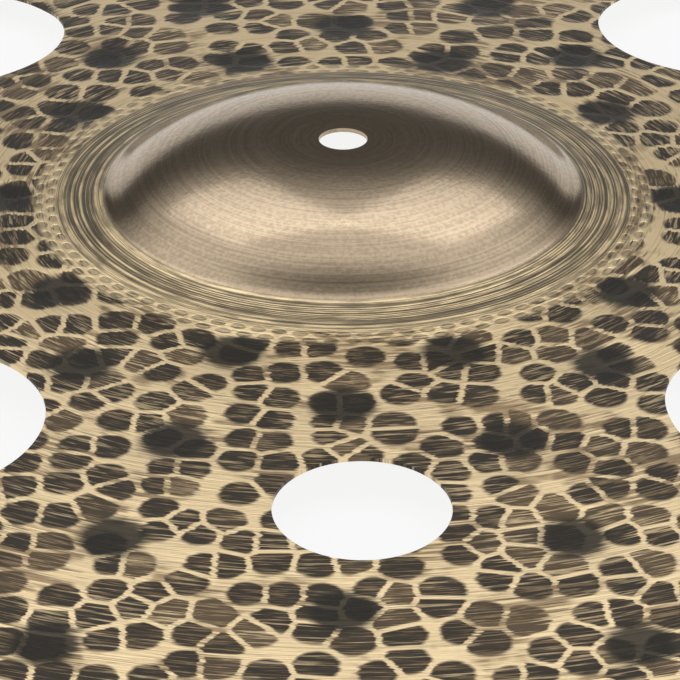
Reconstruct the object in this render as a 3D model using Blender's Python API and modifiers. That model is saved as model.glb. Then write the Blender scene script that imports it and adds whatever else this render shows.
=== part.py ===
"""A thin cast bronze crash cymbal with two sizes of round cut-outs, as one turned and pierced plate.

The cymbal stands bell up: +Z is its axis, and its origin is on the axis in the plane of the rim.
All sizes are in metres.
"""

import math

import bpy

# Overall plate
DIAMETER = 0.457
BOW_DROP = 0.0104
BOW_START_SLOPE = 0.0286

# Bell and the band that is turned around its foot
BELL_DIAMETER = 0.1234
BELL_HEIGHT = 0.0147
BELL_FULLNESS = 0.5
BELL_FOOT_ROUNDING = 0.0028
BAND_WIDTH = 0.0137
BAND_DROP = 0.0017

# Hole for the stand's sleeve, and the flat seat for a felt around it
STAND_HOLE_DIAMETER = 0.0125
FELT_SEAT_WIDTH = 0.0038

# Wall, which thins towards the rim
CROWN_THICKNESS = 0.0011
RIM_THICKNESS = 0.0008
RIM_LAND = 0.0015
RIM_CHAMFER = 0.00015

# Cut-outs, which alternate in size around one circle
CUTOUT_CIRCLE_DIAMETER = 0.306
CUTOUT_PAIRS = 4
SMALL_CUTOUT_DIAMETER = 0.042
LARGE_CUTOUT_DIAMETER = 0.068
FIRST_CUTOUT_ANGLE = math.radians(-88.34)

# Facets
TURN_STEPS = 96
BELL_POINTS = 8
FOOT_POINTS = 4
BOW_POINTS = 7
SMALL_CUTOUT_SIDES = 40
LARGE_CUTOUT_SIDES = 56
MERGE_DISTANCE = 0.00002

PLATE_RADIUS = DIAMETER / 2
HOLE_RADIUS = STAND_HOLE_DIAMETER / 2
SEAT_RADIUS = HOLE_RADIUS + FELT_SEAT_WIDTH
BELL_RADIUS = BELL_DIAMETER / 2
BAND_RADIUS = BELL_RADIUS + BAND_WIDTH
BAND_HEIGHT = RIM_THICKNESS + BOW_DROP
FOOT_HEIGHT = BAND_HEIGHT + BAND_DROP
CROWN_HEIGHT = FOOT_HEIGHT + BELL_HEIGHT


def clear_scene():
    """Removes whatever the scene holds."""
    for item in list(bpy.data.objects):
        bpy.data.objects.remove(item)


def new_collection(name):
    """Makes a collection and links it to the scene."""
    made = bpy.data.collections.new(name)
    bpy.context.scene.collection.children.link(made)
    return made


def move_to(item, collection):
    """Puts an object in one collection only."""
    for holder in list(item.users_collection):
        holder.objects.unlink(item)
    collection.objects.link(item)


def metal(name, colour, roughness):
    """Makes a Principled metal of one colour."""
    made = bpy.data.materials.new(name)
    made.use_nodes = True
    shader = made.node_tree.nodes["Principled BSDF"]
    shader.inputs["Base Color"].default_value = (*colour, 1.0)
    shader.inputs["Metallic"].default_value = 1.0
    shader.inputs["Roughness"].default_value = roughness
    return made


def bell_height(radius):
    """Height of the bell's outer face, a flat crown that steepens towards its foot."""
    share = (radius - SEAT_RADIUS) / (BELL_RADIUS - SEAT_RADIUS)
    fall = (1 - BELL_FULLNESS) * share**2 + BELL_FULLNESS * share**4
    return CROWN_HEIGHT - BELL_HEIGHT * fall


def band_height(radius):
    """Height of the straight turned band around the bell's foot."""
    return FOOT_HEIGHT - BAND_DROP * (radius - BELL_RADIUS) / BAND_WIDTH


def bow_height(radius):
    """Height of the bow, whose slope grows evenly from the band to the rim."""
    run = radius - BAND_RADIUS
    width = PLATE_RADIUS - BAND_RADIUS
    curvature = (BOW_DROP - BOW_START_SLOPE * width) / width**2
    return BAND_HEIGHT - BOW_START_SLOPE * run - curvature * run**2


def foot_fillet():
    """Points of the rounding between the bell's flank and the band, a parabola tangent to both."""
    start = (BELL_RADIUS - BELL_FOOT_ROUNDING, bell_height(BELL_RADIUS - BELL_FOOT_ROUNDING))
    corner = (BELL_RADIUS, band_height(BELL_RADIUS))
    end = (BELL_RADIUS + BELL_FOOT_ROUNDING, band_height(BELL_RADIUS + BELL_FOOT_ROUNDING))
    points = []
    for step in range(1, FOOT_POINTS + 1):
        share = step / FOOT_POINTS
        weights = ((1 - share) ** 2, 2 * share * (1 - share), share**2)
        points.append(
            tuple(
                weights[0] * start[axis] + weights[1] * corner[axis] + weights[2] * end[axis]
                for axis in (0, 1)
            )
        )
    return points


def upper_line():
    """Points of the upper face from the stand hole out to the rim."""
    line = [(HOLE_RADIUS, CROWN_HEIGHT), (SEAT_RADIUS, CROWN_HEIGHT)]
    reach = BELL_RADIUS - BELL_FOOT_ROUNDING - SEAT_RADIUS
    for step in range(1, BELL_POINTS + 1):
        radius = SEAT_RADIUS + reach * step / BELL_POINTS
        line.append((radius, bell_height(radius)))
    line.extend(foot_fillet())
    line.append((BAND_RADIUS, BAND_HEIGHT))
    width = PLATE_RADIUS - RIM_LAND - BAND_RADIUS
    for step in range(1, BOW_POINTS + 1):
        radius = BAND_RADIUS + width * step / BOW_POINTS
        line.append((radius, bow_height(radius)))
    return line


def wall_at(radius):
    """Wall thickness, which falls evenly from the axis to the rim."""
    return CROWN_THICKNESS + (RIM_THICKNESS - CROWN_THICKNESS) * radius / PLATE_RADIUS


def lower_line(upper):
    """Points of the underside from the rim's land in to the stand hole, one wall below the upper face."""
    lower = []
    for index in range(len(upper) - 1, 1, -1):
        radius, height = upper[index]
        before = upper[index - 1]
        after = upper[min(index + 1, len(upper) - 1)]
        angle = math.atan2(before[1] - after[1], after[0] - before[0])
        wall = wall_at(radius)
        lower.append((radius - wall * math.sin(angle), height - wall * math.cos(angle)))
    underside = CROWN_HEIGHT - CROWN_THICKNESS
    lower.extend([(SEAT_RADIUS, underside), (HOLE_RADIUS, underside)])
    return lower


def rim_edge():
    """Points of the rim, with its edge broken above and below and a flat land to stand on."""
    return [
        (PLATE_RADIUS - RIM_CHAMFER, RIM_THICKNESS),
        (PLATE_RADIUS, RIM_THICKNESS - RIM_CHAMFER),
        (PLATE_RADIUS, RIM_CHAMFER),
        (PLATE_RADIUS - RIM_CHAMFER, 0.0),
        (PLATE_RADIUS - RIM_LAND, 0.0),
    ]


def turned_plate(collection):
    """The plate as one closed section turned about the axis."""
    upper = upper_line()
    section = upper + rim_edge() + lower_line(upper[:-1])
    mesh = bpy.data.meshes.new("cymbal")
    corners = [(radius, 0.0, height) for radius, height in section]
    edges = [(index, (index + 1) % len(corners)) for index in range(len(corners))]
    mesh.from_pydata(corners, edges, [])
    plate = bpy.data.objects.new("cymbal", mesh)
    collection.objects.link(plate)
    turn = plate.modifiers.new("turn", "SCREW")
    turn.axis = "Z"
    turn.angle = math.tau
    turn.steps = TURN_STEPS
    turn.render_steps = TURN_STEPS
    turn.use_merge_vertices = True
    turn.merge_threshold = MERGE_DISTANCE
    turn.use_smooth_shade = True
    return plate


def punch(name, diameter, sides, angle, collection):
    """A cylinder through the plate that cuts one round hole."""
    reach = CUTOUT_CIRCLE_DIAMETER / 2
    depth = 2 * CROWN_HEIGHT
    bpy.ops.mesh.primitive_cylinder_add(
        vertices=sides,
        radius=diameter / 2,
        depth=depth,
        location=(reach * math.cos(angle), reach * math.sin(angle), depth / 4),
        rotation=(0.0, 0.0, angle),
    )
    cutter = bpy.context.object
    cutter.name = name
    cutter.display_type = "WIRE"
    cutter.hide_render = True
    move_to(cutter, collection)


def add_punches(collection):
    """Small and large cutters in turn, evenly spaced around the cut-out circle."""
    spacing = math.pi / CUTOUT_PAIRS
    for pair in range(CUTOUT_PAIRS):
        angle = FIRST_CUTOUT_ANGLE + 2 * pair * spacing
        punch(f"small_punch_{pair + 1}", SMALL_CUTOUT_DIAMETER, SMALL_CUTOUT_SIDES, angle, collection)
        punch(f"large_punch_{pair + 1}", LARGE_CUTOUT_DIAMETER, LARGE_CUTOUT_SIDES, angle + spacing, collection)


def main():
    """Turns the plate, pierces it and gives it its bronze."""
    clear_scene()
    parts = new_collection("trash_crash_cymbal")
    cutters = new_collection("cutters")
    plate = turned_plate(parts)
    add_punches(cutters)
    pierce = plate.modifiers.new("pierce", "BOOLEAN")
    pierce.operation = "DIFFERENCE"
    pierce.solver = "EXACT"
    pierce.operand_type = "COLLECTION"
    pierce.collection = cutters
    plate.data.materials.append(metal("bronze", (0.62, 0.47, 0.27), 0.38))


main()
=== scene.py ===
"""Looks for the trash crash cymbal: a hammered, lathed and pierced bronze plate on a pale studio floor."""

import logging
import math
from dataclasses import dataclass
from enum import Enum
from typing import Any, Sequence, Union

import bpy
import numpy as np
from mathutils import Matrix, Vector

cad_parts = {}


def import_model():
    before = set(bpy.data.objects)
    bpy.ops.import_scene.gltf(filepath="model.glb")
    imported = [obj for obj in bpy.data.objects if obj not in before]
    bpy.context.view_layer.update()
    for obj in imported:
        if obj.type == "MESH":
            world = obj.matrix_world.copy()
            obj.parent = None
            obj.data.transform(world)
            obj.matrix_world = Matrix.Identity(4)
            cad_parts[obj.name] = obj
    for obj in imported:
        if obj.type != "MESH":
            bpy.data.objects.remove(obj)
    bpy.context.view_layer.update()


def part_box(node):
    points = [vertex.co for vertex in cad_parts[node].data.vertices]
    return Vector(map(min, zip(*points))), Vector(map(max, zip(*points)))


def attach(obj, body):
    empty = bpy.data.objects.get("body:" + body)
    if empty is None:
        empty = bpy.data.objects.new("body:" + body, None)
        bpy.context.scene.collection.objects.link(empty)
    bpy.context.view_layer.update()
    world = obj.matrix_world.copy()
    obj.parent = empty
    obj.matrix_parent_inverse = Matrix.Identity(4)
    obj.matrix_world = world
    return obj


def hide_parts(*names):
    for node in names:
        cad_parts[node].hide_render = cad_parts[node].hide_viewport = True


logging.basicConfig(level=logging.INFO, format="%(message)s")
LOG = logging.getLogger("cymbal")

DENT_LAYER = "dent"
MM = 0.001

Colour = tuple[float, float, float, float]
Span = tuple[float, float]
Operand = Union["Val", float]

WHITE: Colour = (1.0, 1.0, 1.0, 1.0)


class Cutout(Enum):
    """The two kinds of round cut-out, which take turns around the bow."""

    SMALL = 0
    LARGE = 1


class Val:
    """A shader socket that adds Math nodes to its tree when it is used in an expression."""

    def __init__(self, tree: "Tree", socket: bpy.types.NodeSocket) -> None:
        """Keeps an output socket and the tree that it belongs to."""
        self.tree = tree
        self.socket = socket

    def also(self, output: str) -> "Val":
        """Another output of the same node."""
        return Val(self.tree, self.socket.node.outputs[output])

    def __add__(self, other: Operand) -> "Val":
        """Self plus other."""
        return self.tree.math("ADD", self, other)

    __radd__ = __add__

    def __sub__(self, other: Operand) -> "Val":
        """Self minus other."""
        return self.tree.math("SUBTRACT", self, other)

    def __rsub__(self, other: Operand) -> "Val":
        """Other minus self."""
        return self.tree.math("SUBTRACT", other, self)

    def __mul__(self, other: Operand) -> "Val":
        """Self times other."""
        return self.tree.math("MULTIPLY", self, other)

    __rmul__ = __mul__

    def __truediv__(self, other: Operand) -> "Val":
        """Self over other."""
        return self.tree.math("DIVIDE", self, other)

    def __rtruediv__(self, other: Operand) -> "Val":
        """Other over self."""
        return self.tree.math("DIVIDE", other, self)


class Tree:
    """A node tree under construction, of a material or of the world."""

    def __init__(self, tree: bpy.types.NodeTree) -> None:
        """Keeps the tree that new nodes go into."""
        self.tree = tree

    def feed(self, socket: bpy.types.NodeSocket, value: Any) -> None:
        """Links or sets a socket.

        Args:
            socket: The input socket.
            value: A Val, or a constant.
        """
        if isinstance(value, Val):
            self.tree.links.new(value.socket, socket)
        else:
            socket.default_value = value

    def node(
        self, kind: str, settings: dict[str, Any] | None = None, out: int | str = 0, **values: Any
    ) -> Val:
        """Adds a node, sets it and feeds it.

        Args:
            kind: The node's type.
            settings: Its properties, set before its sockets. Stops are a ramp's places and colours.
            out: The output that is wanted, by name or place.
            **values: Socket values, by name with spaces as underscores, or in0, in1 by place.

        Returns:
            The wanted output.
        """
        made = self.tree.nodes.new(kind)
        for name, value in (settings or {}).items():
            if name == "stops":
                lay_stops(made.color_ramp, value)
            else:
                setattr(made, name, value)
        for name, value in values.items():
            by_place = name.startswith("in") and name[2:].isdigit()
            self.feed(made.inputs[int(name[2:]) if by_place else name.replace("_", " ")], value)
        return Val(self, made.outputs[out])

    def math(self, operation: str, *values: Operand) -> Val:
        """A Math node of that operation on these values."""
        inputs = {f"in{place}": value for place, value in enumerate(values)}
        return self.node("ShaderNodeMath", {"operation": operation}, **inputs)

    def vector(self, x: Operand, y: Operand, z: Operand) -> Val:
        """A vector of three values."""
        return self.node("ShaderNodeCombineXYZ", X=x, Y=y, Z=z)

    def step(self, value: Val, start: float, end: float) -> Val:
        """A smooth step, which rises from 0 to 1 as the value grows, or falls where start is above end.

        Args:
            value: What decides.
            start: The value at which the result is 0.
            end: The value at which the result is 1.

        Returns:
            The step.
        """
        lowest, highest = (0.0, 1.0) if end > start else (1.0, 0.0)
        return self.node(
            "ShaderNodeMapRange",
            {"interpolation_type": "SMOOTHSTEP"},
            Value=value,
            From_Min=min(start, end),
            From_Max=max(start, end),
            To_Min=lowest,
            To_Max=highest,
        )

    def noise(self, place: Val, scale: float, detail: float) -> Val:
        """Noise of about 0 to 1 at a place."""
        return self.node("ShaderNodeTexNoise", Vector=place, Scale=scale, Detail=detail)

    def mix(self, share: Operand, first: Val | Colour, second: Val | Colour) -> Val:
        """The first colour, with a share of the second."""
        return self.node("ShaderNodeMix", {"data_type": "RGBA"}, out=2, in0=share, in6=first, in7=second)


class Paint(Tree):
    """A material under construction, around its Principled shader."""

    def __init__(self, name: str) -> None:
        """Makes the material.

        Args:
            name: The material's name.
        """
        self.material = bpy.data.materials.new(name)
        self.material.use_nodes = True
        super().__init__(self.material.node_tree)
        self.shader = self.tree.nodes["Principled BSDF"]
        self.output = self.tree.nodes["Material Output"]

    def dress(self, **values: Any) -> None:
        """Feeds the shader's own sockets, by name with spaces as underscores."""
        for name, value in values.items():
            self.feed(self.shader.inputs[name.replace("_", " ")], value)


def lay_stops(ramp: bpy.types.ColorRamp, stops: Sequence[tuple[float, Colour]]) -> None:
    """Gives a new ramp its stops.

    Args:
        ramp: The ramp, which comes with two stops.
        stops: The place and colour of each stop, in order.
    """
    ramp.elements.remove(ramp.elements[1])
    ramp.elements[0].position, ramp.elements[0].color = stops[0]
    for place, colour in stops[1:]:
        ramp.elements.new(place).color = colour


def tone(red: int, green: int, blue: int) -> Colour:
    """A screen colour as a linear shader colour.

    Args:
        red: The red channel, 0 to 255.
        green: The green channel, 0 to 255.
        blue: The blue channel, 0 to 255.

    Returns:
        The linear colour, opaque.
    """
    shares = (channel / 255 for channel in (red, green, blue))
    linear = (share / 12.92 if share <= 0.04045 else ((share + 0.055) / 1.055) ** 2.4 for share in shares)
    return (*linear, 1.0)


def grey(level: float) -> Colour:
    """An opaque grey of that linear level."""
    return (level, level, level, 1.0)


def swing(noise: Val) -> Val:
    """Noise of 0 to 1 as a swing around zero."""
    return noise - 0.5


def average(first: Val, second: Val) -> Val:
    """The middle of two values."""
    return first * 0.5 + second * 0.5


def on_circle(radius: float, angle: float) -> tuple[float, float]:
    """X and Y of a point at a distance and an angle around the axis."""
    return radius * math.cos(angle), radius * math.sin(angle)


@dataclass(frozen=True)
class Surface:
    """The values that the bronze is painted from, at each point of the plate."""

    x: Val
    y: Val
    out_x: Val
    out_y: Val
    radius: Val
    turn: Val
    long_streaks: Val
    fine_streaks: Val
    grooves: Val
    grain: Val
    cloud: Val


@dataclass(frozen=True)
class Hammering:
    """The masks of the hammered work and of the lathe cuts across it, with the painted shade in the large
    dents, from 0 to 1.
    """

    spot: Val
    pale: Val
    core: Val
    ring: Val
    cuts: Val


@dataclass(frozen=True)
class Streak:
    """Noise drawn out around the axis: how finely it changes around the plate, and across it per metre."""

    around: float
    across: float
    detail: float

    def noise(self, paint: Paint, out_x: Val, out_y: Val, radius: Val) -> Val:
        """The streaks' noise.

        Args:
            paint: The material.
            out_x: X of the direction away from the axis.
            out_y: Y of the direction away from the axis.
            radius: The distance from the axis.

        Returns:
            Noise of about 0 to 1.
        """
        place = paint.vector(out_x * self.around, out_y * self.around, radius * self.across)
        return paint.noise(place, 1.0, self.detail)


@dataclass(frozen=True)
class Lathe:
    """What the lathe leaves around the plate, with the bronze's own grain and its cloudy wear."""

    long_streak: Streak = Streak(around=7.0, across=700.0, detail=4.0)
    fine_streak: Streak = Streak(around=16.0, across=1900.0, detail=3.0)
    groove: Streak = Streak(around=0.6, across=2600.0, detail=2.0)
    grains_per_metre: float = 900.0
    grain_detail: float = 5.0
    clouds_per_metre: float = 45.0
    cloud_detail: float = 3.0

    def survey(self, paint: Paint) -> Surface:
        """Works out the values that the bronze is painted from.

        Args:
            paint: The material.

        Returns:
            The values at each point.
        """
        place = paint.node("ShaderNodeTexCoord", out="Object")
        x = paint.node("ShaderNodeSeparateXYZ", out="X", Vector=place)
        y = x.also("Y")
        radius = paint.math("SQRT", x * x + y * y)
        out_x, out_y = x / radius, y / radius
        return Surface(
            x=x,
            y=y,
            out_x=out_x,
            out_y=out_y,
            radius=radius,
            turn=paint.math("ARCTAN2", y, x) / math.tau + 0.5,
            long_streaks=self.long_streak.noise(paint, out_x, out_y, radius),
            fine_streaks=self.fine_streak.noise(paint, out_x, out_y, radius),
            grooves=self.groove.noise(paint, out_x, out_y, radius),
            grain=paint.noise(place, self.grains_per_metre, self.grain_detail),
            cloud=paint.noise(place, self.clouds_per_metre, self.cloud_detail),
        )


@dataclass(frozen=True)
class HammerMarks:
    """Small hammer marks, packed like the spots of a hide with a thin bright web between them.

    The edges and the spread of sizes are shares of a cell of the packing.
    """

    cells_per_metre: float = 101.0
    scatter: float = 0.8
    web_edge: Span = (0.05, 0.10)
    outer_edge: Span = (0.60, 0.47)
    size_spread: float = 0.16
    ragged_end: float = 2.4 * MM

    def paint(self, paint: Paint, at: Surface) -> tuple[Val, Val]:
        """Lays the marks, with their ends made ragged along the lathe cuts.

        Args:
            paint: The material.
            at: The values at each point.

        Returns:
            1 in a mark and 0 outside, and a number from 0 to 1 that differs from mark to mark.
        """
        slide = swing(at.fine_streaks) * self.ragged_end + swing(at.long_streaks) * self.ragged_end
        place = paint.vector(at.x - at.out_y * slide, at.y + at.out_x * slide, 0.0)
        flat = {"voronoi_dimensions": "2D"}
        to_edge = {**flat, "feature": "DISTANCE_TO_EDGE"}
        cells = {"Vector": place, "Scale": self.cells_per_metre, "Randomness": self.scatter}
        border = paint.node("ShaderNodeTexVoronoi", to_edge, out="Distance", **cells)
        middle = paint.node("ShaderNodeTexVoronoi", flat, out="Distance", **cells)
        kind = paint.node("ShaderNodeSeparateColor", out="Red", Color=middle.also("Color"))
        reach = middle + swing(kind) * self.size_spread
        return paint.step(border, *self.web_edge) * paint.step(reach, *self.outer_edge), kind


@dataclass(frozen=True)
class MarkRing:
    """The rows of small punched marks around the turned band, drawn out around it by the squeeze."""

    radius: float
    marks: int = 90
    rows: int = 2
    row_gap: float = 3.0 * MM
    squeeze: float = 0.4
    edge: Span = (1.5 * MM, 0.9 * MM)

    def row_radius(self, row: int) -> float:
        """How far a row lies from the axis."""
        return self.radius + row * self.row_gap

    def paint(self, paint: Paint, at: Surface) -> Val:
        """Lays the rows, each half a mark further around than the one inside it.

        Args:
            paint: The material.
            at: The values at each point.

        Returns:
            1 in a mark and 0 outside.
        """
        along = at.turn * float(self.marks)
        pitch = math.tau * self.radius / self.marks
        rows = []
        for row in range(self.rows):
            across = swing(paint.math("FRACT", along + row / 2)) * pitch
            out = at.radius - self.row_radius(row)
            reach = paint.math("SQRT", across * across * self.squeeze + out * out)
            rows.append(paint.step(reach, *self.edge))
        return paint.math("MINIMUM", sum(rows), 1.0)


@dataclass(frozen=True)
class Relief:
    """How far each pattern lifts or sinks the surface, as shares of the depth."""

    depth: float = 1.0 * MM
    strength: float = 0.8
    fine_streaks: float = 0.12
    long_streaks: float = 0.16
    grooves: float = 0.08
    marks: float = 0.12
    ring: float = 0.16
    cloud: float = 0.12
    grain: float = 0.02

    def paint(self, paint: Paint, at: Surface, work: Hammering, on_bell: Val) -> Val:
        """Works out the bumps, with no lathe cuts on the bell.

        Args:
            paint: The material.
            at: The values at each point.
            work: The masks of the hammered work.
            on_bell: 1 on the bell and 0 outside.

        Returns:
            The surface's normal.
        """
        cuts = swing(at.fine_streaks) * self.fine_streaks + swing(at.long_streaks) * self.long_streaks
        cuts = cuts + swing(at.grooves) * self.grooves
        height = cuts * (1.0 - on_bell) - work.spot * self.marks - work.ring * self.ring
        height = height + swing(at.cloud) * self.cloud + at.grain * self.grain
        return paint.node(
            "ShaderNodeBump", out="Normal", Strength=self.strength, Distance=self.depth, Height=height
        )


@dataclass(frozen=True)
class HammeredBronze:
    """Bronze with dark unturned hammer marks, painted shade in the large dents, bright lathe cuts and a raw
    bell.

    A span holds the two values of a pattern between which a mask rises from 0 to 1, and a share says how
    strongly its mask counts.
    """

    bell_radius: float
    mark_ring: MarkRing
    lathe: Lathe = Lathe()
    hammer_marks: HammerMarks = HammerMarks()
    relief: Relief = Relief()

    web: Colour = tone(240, 216, 172)
    streak: Colour = tone(148, 124, 94)
    mark: Colour = tone(66, 61, 54)
    # Dark grey painted into the middles of the large dents, as painted shade in their hollows.
    painted_dent_shade: Colour = tone(52, 50, 46)
    raw_bell: Colour = tone(184, 165, 140)
    bell_fleck: Colour = tone(150, 134, 112)

    bell_fade: float = 0.6 * MM
    band_inset: float = 1.7 * MM
    band_fade: float = 1.5 * MM
    ring_fade: float = 2.0 * MM

    cut_span: Span = (0.50, 0.64)
    pale_span: Span = (0.34, 0.12)
    bright_span: Span = (0.52, 0.60)
    bright_share: float = 0.45
    pale_share: float = 0.35
    dent_shade_fray: float = 0.5
    dent_shade_span: Span = (0.28, 0.62)

    patch_cloud_span: Span = (0.50, 0.58)
    patch_streak_span: Span = (0.42, 0.58)
    patch_share: float = 0.85
    cut_in_mark: float = 0.75
    pale_in_mark: float = 0.35
    dent_shade_share: float = 0.95
    ring_share: float = 0.35
    ring_cut_share: float = 0.45
    line_streak_span: Span = (0.58, 0.68)
    line_cloud_span: Span = (0.40, 0.56)
    line_share: float = 0.7
    groove_span: Span = (0.56, 0.68)
    groove_share: float = 0.3

    band_groove_span: Span = (0.36, 0.58)
    band_groove_share: float = 0.85
    band_streak_span: Span = (0.40, 0.62)
    band_streak_share: float = 0.5

    fleck_span: Span = (0.40, 0.62)
    fleck_share: float = 0.7

    roughness: float = 0.4
    mark_roughness: float = 0.06
    grain_roughness: float = 0.1
    bell_gloss: float = 0.24

    def hammering(self, paint: Paint, at: Surface) -> Hammering:
        """Lays the marks and the ring, which the lathe has partly cut away, and the painted shade in the
        large dents, frayed along the lathe streaks.

        Args:
            paint: The material.
            at: The values at each point.

        Returns:
            The masks.
        """
        ring_end = self.mark_ring.row_radius(self.mark_ring.rows - 1)
        beyond_ring = paint.step(at.radius, ring_end, ring_end + self.ring_fade)
        spot, kind = self.hammer_marks.paint(paint, at)
        cuts = paint.step(at.fine_streaks, *self.cut_span)
        pale = paint.step(kind, *self.pale_span)
        bright = paint.step(average(at.long_streaks, at.fine_streaks), *self.bright_span)
        dent = paint.node("ShaderNodeAttribute", {"attribute_name": DENT_LAYER}, out="Fac")
        # Painted shade: a mask over the middles of the large dents, frayed by the lathe streaks.
        core = paint.step(dent + swing(at.fine_streaks) * self.dent_shade_fray, *self.dent_shade_span)
        return Hammering(
            spot=spot * beyond_ring * (1.0 - bright * self.bright_share - pale * cuts * self.pale_share),
            pale=pale,
            core=core * beyond_ring,
            ring=self.mark_ring.paint(paint, at),
            cuts=cuts,
        )

    def bow_colour(self, paint: Paint, at: Surface, work: Hammering) -> Val:
        """The colour of the bow: worn patches, marks, painted shade in the dents, the ring, and dark lines
        over them all.

        Args:
            paint: The material.
            at: The values at each point.
            work: The masks of the hammered work.

        Returns:
            The colour.
        """
        patch = paint.step(at.cloud, *self.patch_cloud_span)
        patch = patch * paint.step(at.long_streaks, *self.patch_streak_span)
        ground = paint.mix(patch * self.patch_share, self.web, self.streak)
        lighter = work.cuts * self.cut_in_mark + work.pale * self.pale_in_mark
        colour = paint.mix(work.spot, ground, paint.mix(lighter, self.mark, self.streak))
        # Painted shade: the middles of the large dents are darkened towards dark grey.
        colour = paint.mix(work.core * self.dent_shade_share, colour, self.painted_dent_shade)
        ring = work.ring * (self.ring_share + work.cuts * self.ring_cut_share)
        colour = paint.mix(ring, colour, self.mark)
        lines = paint.step(at.fine_streaks, *self.line_streak_span)
        lines = lines * paint.step(at.cloud, *self.line_cloud_span)
        colour = paint.mix(lines * self.line_share, colour, self.mark)
        return paint.mix(paint.step(at.grooves, *self.groove_span) * self.groove_share, colour, self.mark)

    def band_colour(self, paint: Paint, at: Surface) -> Val:
        """The colour of the turned band around the bell, with dark grooves in bright metal.

        Args:
            paint: The material.
            at: The values at each point.

        Returns:
            The colour.
        """
        grooves = paint.step(at.grooves, *self.band_groove_span) * self.band_groove_share
        streaks = paint.step(at.long_streaks, *self.band_streak_span) * self.band_streak_share
        return paint.mix(streaks, paint.mix(grooves, self.web, self.mark), self.mark)

    def bell_colour(self, paint: Paint, at: Surface) -> Val:
        """The colour of the raw bell, with its flecks."""
        flecks = paint.step(average(at.grain, at.grooves), *self.fleck_span)
        return paint.mix(flecks * self.fleck_share, self.raw_bell, self.bell_fleck)

    def build(self) -> bpy.types.Material:
        """Builds the material.

        Returns:
            The finished material.
        """
        paint = Paint("hammered_bronze")
        at = self.lathe.survey(paint)
        work = self.hammering(paint, at)
        bow_start = self.mark_ring.radius - self.band_inset
        on_bow = paint.step(at.radius, bow_start, bow_start + self.band_fade)
        on_bell = paint.step(at.radius, self.bell_radius + self.bell_fade, self.bell_radius - self.bell_fade)
        colour = paint.mix(on_bow, self.band_colour(paint, at), self.bow_colour(paint, at, work))
        rough = self.roughness + work.spot * self.mark_roughness + swing(at.grain) * self.grain_roughness
        paint.dress(
            Base_Color=paint.mix(on_bell, colour, self.bell_colour(paint, at)),
            Roughness=rough - on_bell * self.bell_gloss,
            Normal=self.relief.paint(paint, at, work, on_bell),
            Metallic=1.0,
        )
        return paint.material


@dataclass(frozen=True)
class FloorWhite:
    """The floor's finish: white to the camera and in reflections, but for a share that keeps the shadow."""

    base: Colour = grey(0.82)
    roughness: float = 0.9
    white_share: float = 0.88

    def build(self) -> bpy.types.Material:
        """Builds the material.

        Returns:
            The finished material.
        """
        paint = Paint("floor_white")
        paint.dress(Base_Color=self.base, Roughness=self.roughness)
        camera_ray = paint.node("ShaderNodeLightPath", out="Is Camera Ray")
        seen = paint.math("MAXIMUM", camera_ray, camera_ray.also("Is Glossy Ray"))
        white = paint.node("ShaderNodeEmission", Color=WHITE, Strength=1.0)
        matt = Val(paint, paint.shader.outputs["BSDF"])
        blend = paint.node("ShaderNodeMixShader", in0=seen * self.white_share, in1=matt, in2=white)
        paint.feed(paint.output.inputs["Surface"], blend)
        return paint.material


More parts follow.
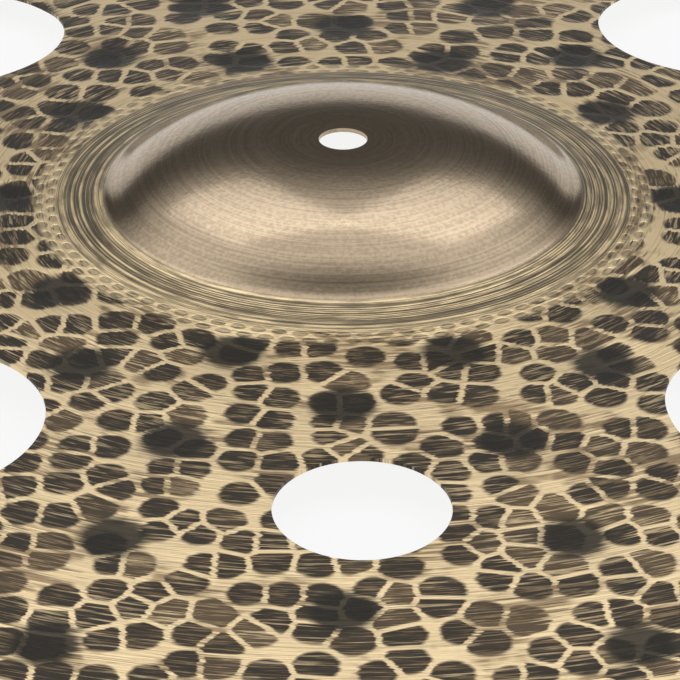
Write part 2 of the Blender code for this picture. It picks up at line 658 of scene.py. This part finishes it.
@dataclass
class CymbalPlate:
    """The plate as a fine mesh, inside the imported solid's box."""

    top: float
    rim_radius: float
    hole_radius: float = 6.25 * MM
    seat_radius: float = 10.05 * MM
    bell_radius: float = 61.7 * MM
    bell_height: float = 14.7 * MM
    foot_rounding: float = 2.8 * MM
    band_width: float = 13.7 * MM
    band_drop: float = 1.7 * MM
    bow_slope: float = 0.0286
    crown_wall: float = 1.1 * MM
    rim_wall: float = 0.8 * MM
    rim_margin: float = 1.0 * MM
    rim_land: float = 1.5 * MM
    rim_inset: float = 0.15 * MM
    rim_bevel: float = 0.2 * MM

    cutout_circle: float = 153.0 * MM
    cutout_count: int = 8
    small_radius: float = 21.0 * MM
    large_radius: float = 34.0 * MM
    first_angle: float = math.radians(-88.34)
    punch_sides: int = 160
    punch_length: float = 0.1

    dent_ring_count: int = 7
    first_dent_ring: float = 87.0 * MM
    dent_ring_gap: float = 21.2 * MM
    dents_per_ring: int = 10
    first_dent_degrees: float = -108.0
    dent_stagger_degrees: float = 18.0
    dent_reach: float = 9.0 * MM
    dent_depth: float = 0.7 * MM
    dent_fade: float = 6.0 * MM
    dent_rim_gap: float = 3.0 * MM

    turn_steps: int = 300
    line_steps: int = 96
    slope_probe: float = 0.2 * MM
    seam_weld: float = 0.02 * MM
    point_weld: float = 0.01 * MM
    smooth_angle: float = math.radians(40)

    @property
    def band_radius(self) -> float:
        """Where the turned band ends and the bow begins."""
        return self.bell_radius + self.band_width

    def cutout_radius(self, kind: Cutout) -> float:
        """The radius of a cut-out of that kind."""
        return self.small_radius if kind is Cutout.SMALL else self.large_radius

    def upper_height(self, radius: float) -> float:
        """The upper face's height, with a sharp foot to the bell.

        Args:
            radius: The distance from the axis.

        Returns:
            The height above the plane of the rim's underside.
        """
        foot = self.top - self.bell_height
        band_height = foot - self.band_drop
        if radius <= self.seat_radius:
            return self.top
        if radius <= self.bell_radius:
            share = (radius - self.seat_radius) / (self.bell_radius - self.seat_radius)
            return self.top - self.bell_height * (share**2 + share**4) / 2
        if radius <= self.band_radius:
            return foot - self.band_drop * (radius - self.bell_radius) / self.band_width
        width = self.rim_radius - self.band_radius
        drop = band_height - self.rim_wall
        run = radius - self.band_radius
        return band_height - self.bow_slope * run - (drop - self.bow_slope * width) * run**2 / width**2

    def rounded_height(self, radius: float) -> float:
        """The upper face's height, with the bell's foot rounded.

        Args:
            radius: The distance from the axis.

        Returns:
            The height above the plane of the rim's underside.
        """
        low, high = self.bell_radius - self.foot_rounding, self.bell_radius + self.foot_rounding
        if not low < radius < high:
            return self.upper_height(radius)
        share = (radius - low) / (high - low)
        corner = self.upper_height(self.bell_radius)
        ends = (1 - share) ** 2 * self.upper_height(low) + share**2 * self.upper_height(high)
        return ends + 2 * share * (1 - share) * corner

    def underside(self, radius: float) -> tuple[float, float]:
        """The point of the underside square below a point of the upper face.

        Args:
            radius: The upper point's distance from the axis.

        Returns:
            The lower point's distance from the axis, and its height.
        """
        nearer = self.rounded_height(radius - self.slope_probe)
        farther = self.rounded_height(radius + self.slope_probe)
        angle = math.atan((nearer - farther) / (2 * self.slope_probe))
        wall = self.crown_wall + (self.rim_wall - self.crown_wall) * radius / self.rim_radius
        return radius - wall * math.sin(angle), self.rounded_height(radius) - wall * math.cos(angle)

    def section(self) -> list[tuple[float, float]]:
        """The closed section, outward along the top and back along the underside.

        Returns:
            Its points, as distances from the axis and heights.
        """
        radii = np.linspace(self.hole_radius, self.rim_radius - self.rim_margin, self.line_steps).tolist()
        upper = [(radius, self.rounded_height(radius)) for radius in radii]
        rim = [
            (self.rim_radius - self.rim_inset, self.rim_wall),
            (self.rim_radius, self.rim_wall - self.rim_bevel),
            (self.rim_radius, self.rim_bevel),
            (self.rim_radius - self.rim_inset, 0.0),
            (self.rim_radius - self.rim_land, 0.0),
        ]
        lower = [self.underside(radius) for radius in radii[::-2][1:]]
        return upper + rim + lower + [(self.hole_radius, self.top - self.crown_wall)]

    def turn_plate(self) -> bpy.types.Object:
        """Spins the section into the plate.

        Returns:
            The plate, unpierced.
        """
        bpy.ops.object.select_all(action="DESELECT")
        section = self.section()
        bpy.ops.mesh.primitive_circle_add(vertices=len(section), radius=self.rim_radius, fill_type="NOTHING")
        plate = bpy.context.object
        plate.name = "bronze_plate"
        for vertex, (radius, height) in zip(plate.data.vertices, section):
            vertex.co = (radius, 0.0, height)
        turn = plate.modifiers.new("turn", "SCREW")
        turn.steps = self.turn_steps
        turn.render_steps = self.turn_steps
        turn.use_merge_vertices = True
        turn.merge_threshold = self.seam_weld
        turn.use_smooth_shade = True
        bpy.ops.object.modifier_apply(modifier=turn.name)
        bpy.ops.object.mode_set(mode="EDIT")
        bpy.ops.mesh.select_all(action="SELECT")
        bpy.ops.mesh.remove_doubles(threshold=self.point_weld)
        bpy.ops.mesh.normals_make_consistent(inside=False)
        bpy.ops.object.mode_set(mode="OBJECT")
        return plate

    def pierce(self, plate: bpy.types.Object) -> None:
        """Cuts the round holes, small and large in turn.

        Args:
            plate: The unpierced plate.
        """
        for index in range(self.cutout_count):
            angle = self.first_angle + index * math.tau / self.cutout_count
            bpy.ops.object.select_all(action="DESELECT")
            bpy.ops.mesh.primitive_cylinder_add(
                vertices=self.punch_sides,
                radius=self.cutout_radius(Cutout(index % len(Cutout))),
                depth=self.punch_length,
                location=(*on_circle(self.cutout_circle, angle), 0.0),
            )
            punch = bpy.context.object
            cut = plate.modifiers.new("cut", "BOOLEAN")
            cut.operation = "DIFFERENCE"
            cut.solver = "EXACT"
            cut.object = punch
            bpy.context.view_layer.objects.active = plate
            bpy.ops.object.modifier_apply(modifier=cut.name)
            bpy.data.objects.remove(punch)

    def dents(self, places: np.ndarray) -> np.ndarray:
        """Lays the large dents in rings, every other ring half a step further around.

        Args:
            places: The points, a row each.

        Returns:
            For each point, 1 in the middle of a dent, and less the further away.
        """
        dent = np.zeros(len(places))
        for ring in range(self.dent_ring_count):
            distance = self.first_dent_ring + ring * self.dent_ring_gap
            start = math.radians(self.first_dent_degrees + self.dent_stagger_degrees * (ring % 2))
            for index in range(self.dents_per_ring):
                x, y = on_circle(distance, start + index * math.tau / self.dents_per_ring)
                away = np.hypot(places[:, 0] - x, places[:, 1] - y)
                dent = np.maximum(dent, np.exp(-((away / self.dent_reach) ** 2)))
        return dent

    def hammer(self, plate: bpy.types.Object) -> None:
        """Sinks the large dents into both faces, and keeps their places for the shade that the finish paints
        into them.

        Args:
            plate: The pierced plate.
        """
        mesh = plate.data
        places = np.empty(len(mesh.vertices) * 3, np.float32)
        mesh.vertices.foreach_get("co", places)
        places = places.reshape(-1, 3).astype(float)
        radius = np.hypot(places[:, 0], places[:, 1])
        dent = self.dents(places) * np.clip((radius - self.band_radius) / self.dent_fade, 0, 1)
        outer = np.clip((self.rim_radius - self.dent_rim_gap - radius) / self.dent_fade, 0, 1)
        places[:, 2] -= self.dent_depth * dent * outer
        mesh.vertices.foreach_set("co", places.astype(np.float32).ravel())
        layer = mesh.attributes.new(DENT_LAYER, "FLOAT", "POINT")
        layer.data.foreach_set("value", dent.astype(np.float32))
        mesh.update()

    def build(self, bronze: bpy.types.Material) -> bpy.types.Object:
        """Makes, pierces, hammers and dresses the plate.

        Args:
            bronze: Its material.

        Returns:
            The finished piece.
        """
        plate = self.turn_plate()
        self.pierce(plate)
        self.hammer(plate)
        bpy.ops.object.select_all(action="DESELECT")
        plate.select_set(True)
        bpy.context.view_layer.objects.active = plate
        bpy.ops.object.shade_smooth_by_angle(angle=self.smooth_angle)
        plate.data.materials.clear()
        plate.data.materials.append(bronze)
        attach(plate, "root")
        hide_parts("cymbal")
        return plate


@dataclass(frozen=True)
class SoftLamp:
    """A square lamp that faces the cymbal, with its side in metres and its power in watts."""

    name: str
    place: tuple[float, float, float]
    side: float = 0.8
    power: float = 1.6

    def hang(self) -> None:
        """Hangs the lamp and turns it to the cymbal."""
        data = bpy.data.lights.new(self.name, "AREA")
        data.size = self.side
        data.energy = self.power
        lamp = bpy.data.objects.new(self.name, data)
        bpy.context.scene.collection.objects.link(lamp)
        lamp.location = self.place
        lamp.rotation_euler = (-Vector(self.place)).to_track_quat("-Z", "Y").to_euler()


@dataclass
class Studio:
    """The floor, the light and the camera.

    The light around the scene changes along a sweep alone, which starts at 0 on the horizon behind the
    cymbal, passes overhead at 0.5 and ends at 1 on the horizon in front. A level is given with its place.
    """

    aim_height: float = 11.2 * MM
    elevation: float = math.radians(26.74)
    distance: float = 1.283
    focal_pixels: float = 4966.0
    frame_pixels: float = 680.0
    centre_pixel: tuple[float, float] = (343.03, 195.86)
    sensor_width: float = 36.0
    clip_span: Span = (0.05, 50.0)
    floor_side: float = 30.0
    floor_gap: float = 0.6 * MM
    sweep_levels: tuple[Span, ...] = (
        (0.0, 0.95),
        (0.08, 0.8),
        (0.095, 0.07),
        (0.17, 0.12),
        (0.26, 0.8),
        (0.34, 1.2),
        (0.46, 1.15),
        (0.51, 0.55),
        (0.56, 0.14),
        (0.63, 0.16),
        (0.72, 0.6),
        (1.0, 0.8),
    )
    lamps: tuple[SoftLamp, ...] = (
        SoftLamp("lamp_left", (-0.45, 0.9, 1.3)),
        SoftLamp("lamp_right", (0.45, 0.9, 1.3)),
    )

    def camera(self) -> None:
        """Places the camera at the photograph's angle and distance."""
        data = bpy.data.cameras.new("camera")
        data.sensor_width = self.sensor_width
        data.lens = data.sensor_width * self.focal_pixels / self.frame_pixels
        data.clip_start, data.clip_end = self.clip_span
        eye = bpy.data.objects.new("camera", data)
        bpy.context.scene.collection.objects.link(eye)
        cosine, sine = math.cos(self.elevation), math.sin(self.elevation)
        eye.location = (0.0, -self.distance * cosine, self.distance * sine + self.aim_height)
        ahead, up = Vector((0.0, cosine, -sine)), Vector((0.0, sine, cosine))
        middle = self.frame_pixels / 2
        right_share = (middle - self.centre_pixel[0]) / self.focal_pixels
        up_share = (self.centre_pixel[1] - middle) / self.focal_pixels
        look = ahead + Vector((right_share, 0.0, 0.0)) + up * up_share
        eye.rotation_euler = look.to_track_quat("-Z", "Y").to_euler()
        bpy.context.scene.camera = eye

    def floor(self) -> None:
        """Lays the floor just under the rim."""
        bpy.ops.object.select_all(action="DESELECT")
        bpy.ops.mesh.primitive_plane_add(size=self.floor_side, location=(0.0, 0.0, -self.floor_gap))
        ground = bpy.context.object
        ground.name = "floor"
        ground.data.materials.append(FloorWhite().build())

    def sky(self) -> None:
        """Surrounds the scene: pale behind, then dark, a bright ceiling, dark again and pale in front.

        The camera itself sees plain white there.
        """
        world = bpy.data.worlds.new("studio")
        bpy.context.scene.world = world
        world.use_nodes = True
        tree = Tree(world.node_tree)
        towards = tree.node("ShaderNodeTexCoord", out="Generated")
        height = tree.node("ShaderNodeSeparateXYZ", out="Z", Vector=towards)
        sweep = tree.math("ARCTAN2", height, height.also("Y")) / math.pi
        stops = [(place, grey(level)) for place, level in self.sweep_levels]
        levels = tree.node("ShaderNodeValToRGB", {"stops": stops}, Fac=sweep)
        camera_ray = tree.node("ShaderNodeLightPath", out="Is Camera Ray")
        tree.feed(world.node_tree.nodes["Background"].inputs["Color"], tree.mix(camera_ray, levels, WHITE))

    def build(self) -> None:
        """Sets up the whole studio."""
        self.floor()
        self.sky()
        for lamp in self.lamps:
            lamp.hang()
        self.camera()
        bpy.context.scene.view_settings.view_transform = "Standard"


def main() -> None:
    """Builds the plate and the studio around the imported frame."""
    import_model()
    _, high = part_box("cymbal")
    cymbal = CymbalPlate(top=high.z, rim_radius=high.x)
    bronze = HammeredBronze(bell_radius=cymbal.bell_radius, mark_ring=MarkRing(cymbal.band_radius)).build()
    plate = cymbal.build(bronze)
    LOG.info("%s: %d faces", plate.name, len(plate.data.polygons))
    Studio().build()


if __name__ == "__main__":
    main()
